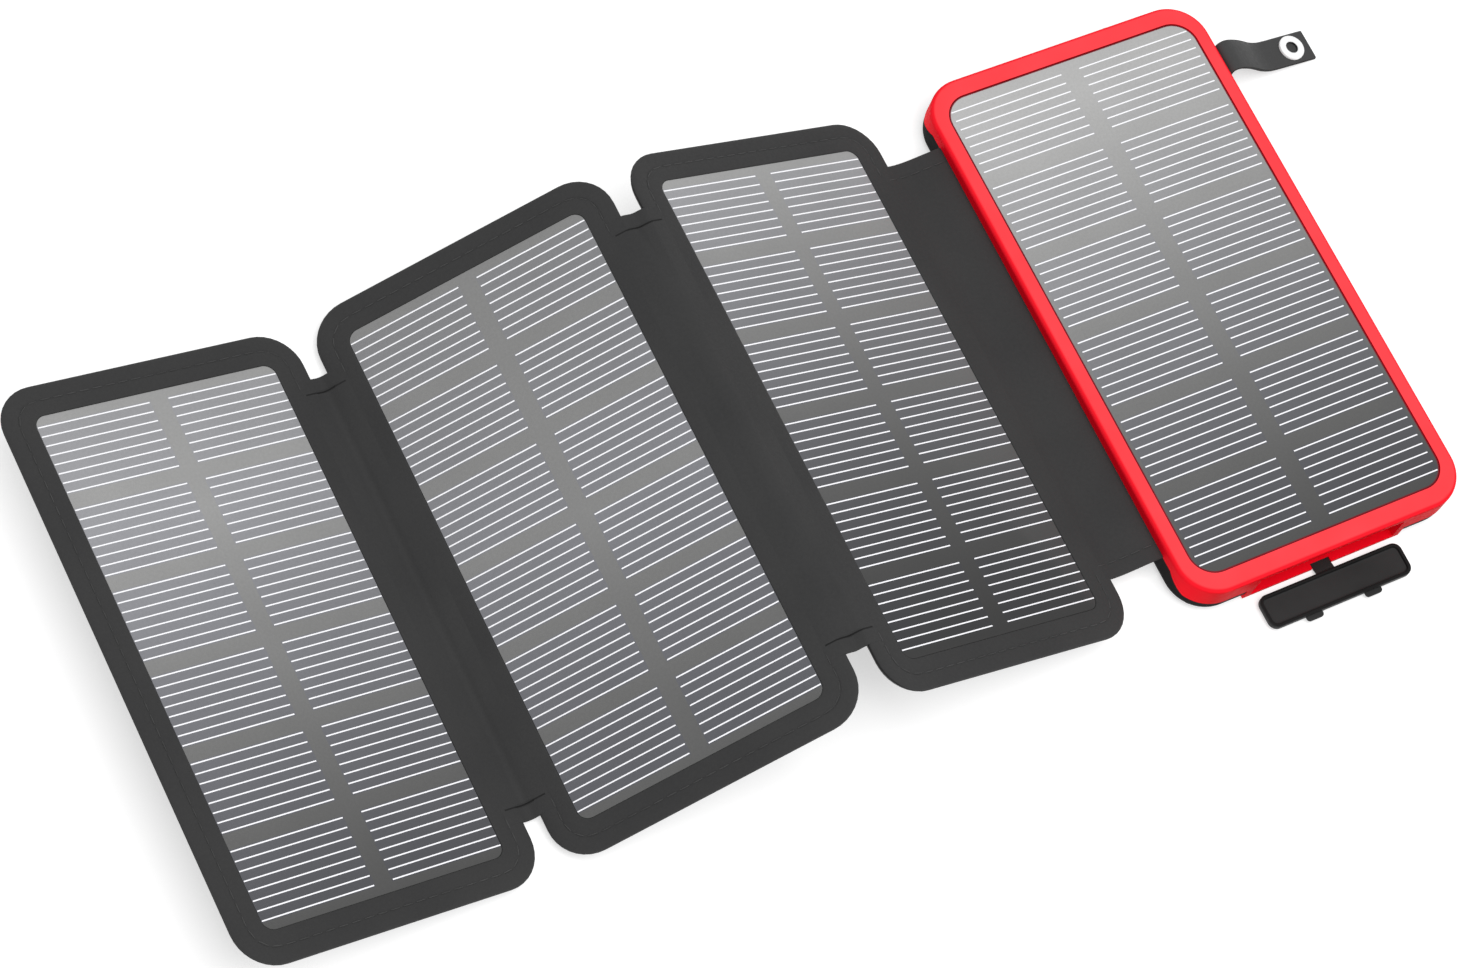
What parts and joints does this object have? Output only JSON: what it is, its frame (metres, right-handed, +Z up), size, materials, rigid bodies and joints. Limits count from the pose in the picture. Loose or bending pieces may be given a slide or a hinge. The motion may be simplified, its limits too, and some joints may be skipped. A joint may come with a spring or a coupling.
{
  "type": "folding solar phone charger",
  "caption": "Power bank with a solar face in a red bumper frame, and leather-covered solar panels that unfold from its side.",
  "frame": {"origin": "middle of the flat underside of the power bank", "axes": "+X across the power bank towards the closing strap, away from the fold-out panels; +Y along the power bank towards the torch end; +Z up out of the solar face"},
  "size_m": [0.3742, 0.1677, 0.0368],
  "materials": {
    "red_bumper": "satin soft-touch red",
    "black_shell": "fine textured black",
    "leather": "charcoal fine grain",
    "stiffener_board": "grey pressed board",
    "circuit_laminate": "green glass-fibre laminate",
    "solar_cell": "grey silicon with white finger lines",
    "solar_cover": "clear gloss laminate",
    "socket_metal": "bright plated",
    "socket_plastic": "black moulded",
    "contact_gold": "gold plated",
    "cover_rubber": "matte black",
    "chip_black": "black epoxy",
    "coil_ferrite": "dark ferrite",
    "capacitor_can": "bright can",
    "battery_foil": "matt silver pouch",
    "foam": "black closed-cell foam",
    "lead_insulation": "insulated leads",
    "button_plastic": "satin black",
    "clear_plastic": "clear moulded",
    "led_white": "milky",
    "screw_steel": "blackened",
    "snap_white": "white",
    "snap_black": "black"
  },
  "bodies": {
    "power_bank": {"battery_cell_1": "battery_foil", "battery_cell_2": "battery_foil", "battery_leads": "lead_insulation", "bottom_shell": "black_shell", "bumper_frame": "red_bumper", "button_switch": "chip_black", "capacitors": "capacitor_can", "charge_light_pipes": "clear_plastic", "circuit_board": "circuit_laminate", "control_chip": "chip_black", "corner_screws": "screw_steel", "end_board": "circuit_laminate", "end_leds": "led_white", "end_ribbon": "lead_insulation", "foam_pad": "foam", "gusset_a_inner": "leather", "main_solar_board": "circuit_laminate", "main_solar_cells": "solar_cell", "main_solar_cover": "solar_cover", "micro_usb_shell": "socket_metal", "port_cover_anchor": "cover_rubber", "power_coil": "coil_ferrite", "socket_tongues": "socket_plastic", "strap_anchor": "leather", "torch_lens": "clear_plastic", "usb_a_contacts": "contact_gold", "usb_a_shell_left": "socket_metal", "usb_a_shell_right": "socket_metal"},
    "fold_panel_3": {"gusset_a_outer": "leather", "gusset_b_right": "leather", "panel_3_back": "leather", "panel_3_board": "circuit_laminate", "panel_3_cells": "solar_cell", "panel_3_cover": "solar_cover", "panel_3_front": "leather", "panel_3_stiffener": "stiffener_board"},
    "fold_panel_2": {"gusset_b_left": "leather", "gusset_c_right": "leather", "panel_2_back": "leather", "panel_2_board": "circuit_laminate", "panel_2_cells": "solar_cell", "panel_2_cover": "solar_cover", "panel_2_front": "leather", "panel_2_stiffener": "stiffener_board"},
    "fold_panel_1": {"gusset_c_left": "leather", "panel_1_back": "leather", "panel_1_board": "circuit_laminate", "panel_1_cells": "solar_cell", "panel_1_cover": "solar_cover", "panel_1_front": "leather", "panel_1_stiffener": "stiffener_board", "snap_stud": "snap_white"},
    "port_lid": {"port_cover": "cover_rubber"},
    "button": {"power_button": "button_plastic"},
    "strap_end": {"snap_cap": "snap_black", "snap_socket": "snap_white", "strap_outer": "leather"},
    "strap_lower": {"strap_inner": "leather"}
  },
  "joints": [
    {"name": "fold_a", "type": "hinge", "parent": "power_bank", "child": "fold_panel_3", "pos_m": [-0.04888, 0, 0.00967], "axis": [0, 1, 0], "range_deg": [-20, 160]},
    {"name": "fold_b", "type": "hinge", "parent": "fold_panel_3", "child": "fold_panel_2", "pos_m": [-0.13783, 0, 0.0345], "axis": [0, -1, 0], "range_deg": [-44, 136]},
    {"name": "fold_c", "type": "hinge", "parent": "fold_panel_2", "child": "fold_panel_1", "pos_m": [-0.21812, 0, 0.00265], "axis": [0, 1, 0], "range_deg": [-39.4, 140.6]},
    {"name": "strap_root", "type": "hinge", "parent": "power_bank", "child": "strap_lower", "pos_m": [0.0462, 0.058, 0.0114], "axis": [0, -1, 0], "range_deg": [-15, 122.2]},
    {"name": "strap_bend", "type": "hinge", "parent": "strap_lower", "child": "strap_end", "pos_m": [0.05791, 0.058, 0.0032], "axis": [0, -1, 0], "range_deg": [-10, 66.3]},
    {"name": "port_cover_hinge", "type": "hinge", "parent": "power_bank", "child": "port_lid", "pos_m": [0, -0.07825, 0.00015], "axis": [-1, 0, 0], "range_deg": [-4, 90]},
    {"name": "button_press", "type": "slide", "parent": "power_bank", "child": "button", "axis": [0, -1, 0], "range_m": [0, 0.0004], "stiffness_N_per_m": 1500, "springref_m": -0.0002}
  ]
}
